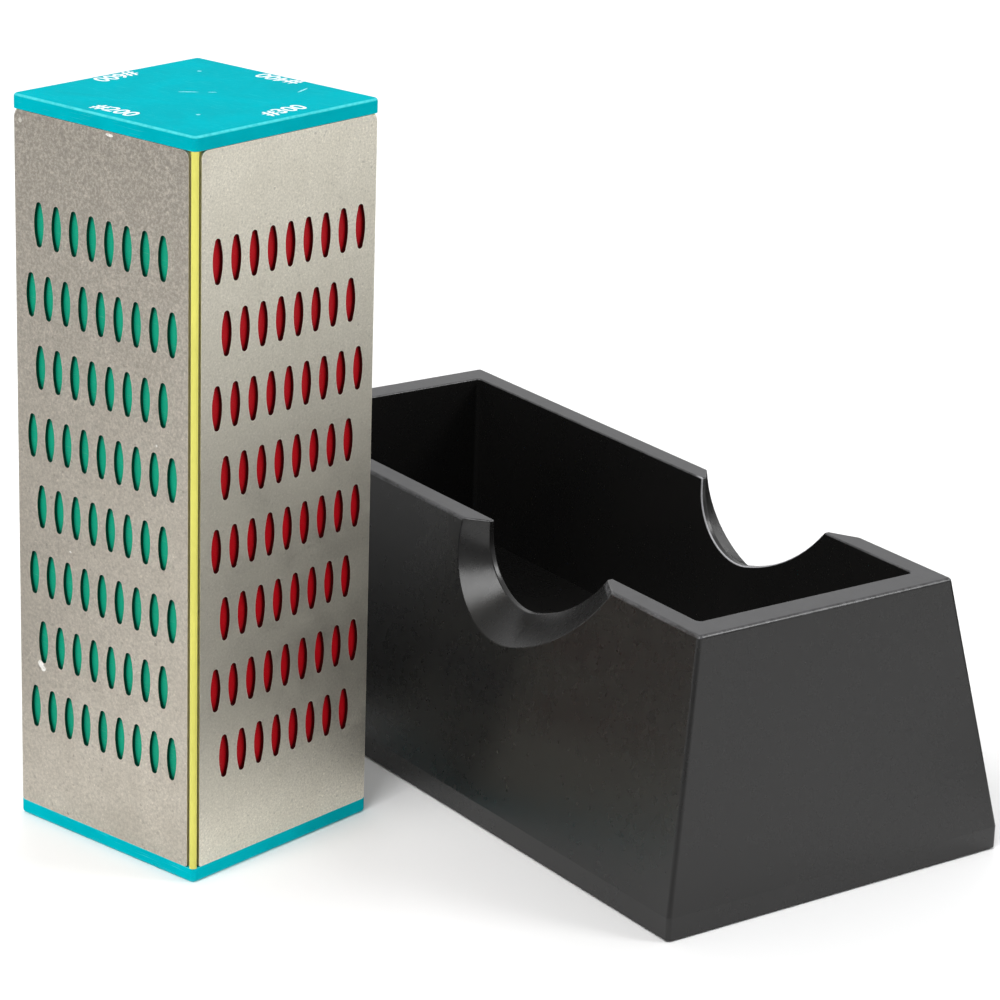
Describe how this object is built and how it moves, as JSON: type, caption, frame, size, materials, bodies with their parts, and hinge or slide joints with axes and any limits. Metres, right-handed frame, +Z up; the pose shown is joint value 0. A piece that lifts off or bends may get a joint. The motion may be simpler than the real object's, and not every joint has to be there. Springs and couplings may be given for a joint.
{
  "type": "sharpening whetstone",
  "caption": "Square diamond sharpening block with perforated plates on all sides and end caps, standing beside its sloped holder tray with finger notches.",
  "frame": {"origin": "centre of the set's footprint, on the surface that it stands on", "axes": "+X along the tray, +Z up, and the block stands on the -Y side of the tray"},
  "size_m": [0.1806, 0.1604, 0.15],
  "materials": {
    "yellow_plastic": "satin",
    "green_plastic": "satin",
    "red_plastic": "satin",
    "blue_plastic": "satin",
    "diamond_steel": "diamond grit in nickel",
    "turquoise_plastic": "satin",
    "black_plastic": "satin",
    "foot_rubber": "matte"
  },
  "bodies": {
    "tray": {"holder_tray": "black_plastic", "foot_pad_front_left": "foot_rubber", "foot_pad_front_right": "foot_rubber", "foot_pad_rear_left": "foot_rubber", "foot_pad_rear_right": "foot_rubber"},
    "block": {"block_core": "yellow_plastic", "green_panel": "green_plastic", "red_panel": "red_plastic", "blue_panel": "blue_plastic", "yellow_panel": "yellow_plastic", "green_diamond_plate": "diamond_steel", "red_diamond_plate": "diamond_steel", "blue_diamond_plate": "diamond_steel", "yellow_diamond_plate": "diamond_steel", "top_end_cap": "turquoise_plastic", "bottom_end_cap": "turquoise_plastic"}
  },
  "joints": [
    {"name": "block_lift", "type": "slide", "parent": "tray", "child": "block", "axis": [0, 0, 1], "range_m": [0, 0.16]}
  ]
}
